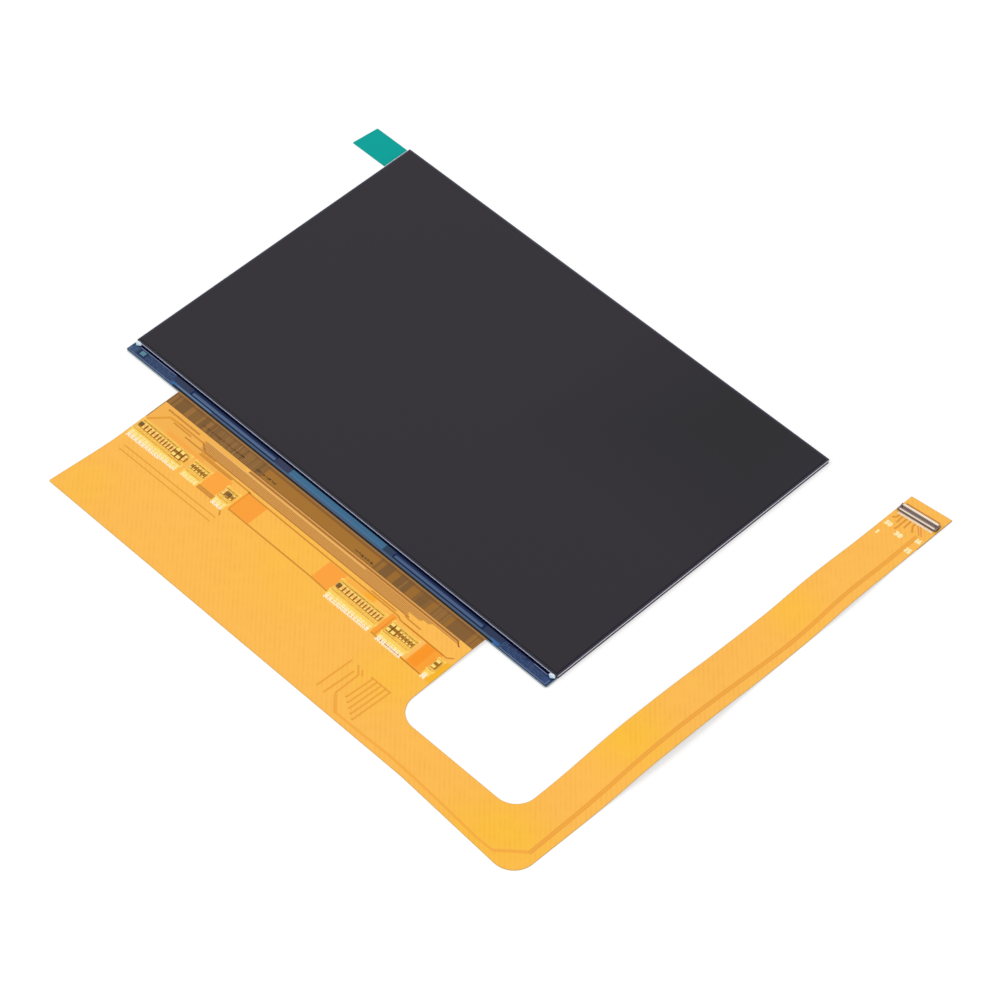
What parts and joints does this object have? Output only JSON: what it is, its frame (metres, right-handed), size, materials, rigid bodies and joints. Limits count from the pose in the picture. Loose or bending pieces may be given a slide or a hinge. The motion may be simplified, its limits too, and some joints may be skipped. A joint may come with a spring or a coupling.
{
  "type": "monochrome lcd panel",
  "caption": "Bare glass liquid crystal panel with dark polarizer, driver chips on a blue bond ledge, amber flex circuit with a long tail and board-to-board header, and a teal pull tab.",
  "frame": {"origin": "centre of the rear glass's outline, on the outer side of the rear protective film", "axes": "+X along the panel's long side, +Y away from the bond ledge, +Z out of the display face"},
  "size_m": [0.1931, 0.1479, 0.0018],
  "materials": {
    "clear_glass": "polished, ground edges",
    "polarizer": "smooth anti-glare film",
    "clear_film": "clear, lies flat",
    "teal_tape": "satin tape",
    "seal_resin": "cured resin",
    "liquid_crystal": "fluid held between the glasses",
    "silicon": "polished bare chip",
    "silver_paste": "dried metal paste",
    "bond_film": "cured conductive film",
    "blue_coat": "cured clear blue coat",
    "amber_film": "polyimide with copper",
    "cover_film": "polyimide cover film",
    "stiffener": "pressed film board",
    "capacitor": "fired ceramic with tin ends",
    "resistor": "ceramic with a dark glaze",
    "moulding_black": "moulded epoxy",
    "coil_grey": "pressed ferrite",
    "header_plastic": "moulded plastic",
    "contact_metal": "plated spring metal"
  },
  "bodies": {
    "root": {"rear_glass": "clear_glass", "counter_glass": "clear_glass", "edge_seal": "seal_resin", "liquid_crystal": "liquid_crystal", "front_polarizer": "polarizer", "rear_polarizer": "polarizer", "protective_film": "clear_film", "pull_tab": "teal_tape", "driver_chip_left": "silicon", "driver_chip_right": "silicon", "silver_dot_left": "silver_paste", "silver_dot_right": "silver_paste", "bond_film": "bond_film", "ledge_coat": "blue_coat", "flex_circuit": "amber_film", "flex_front_cover": "cover_film", "flex_rear_cover": "cover_film", "band_stiffener": "stiffener", "head_stiffener": "stiffener", "capacitors": "capacitor", "large_capacitors": "capacitor", "resistors": "resistor", "coils": "coil_grey", "diodes": "moulding_black", "power_chip": "moulding_black", "header_housing": "header_plastic", "header_contacts_inner": "contact_metal", "header_contacts_outer": "contact_metal", "header_anchors": "contact_metal"}
  },
  "joints": []
}
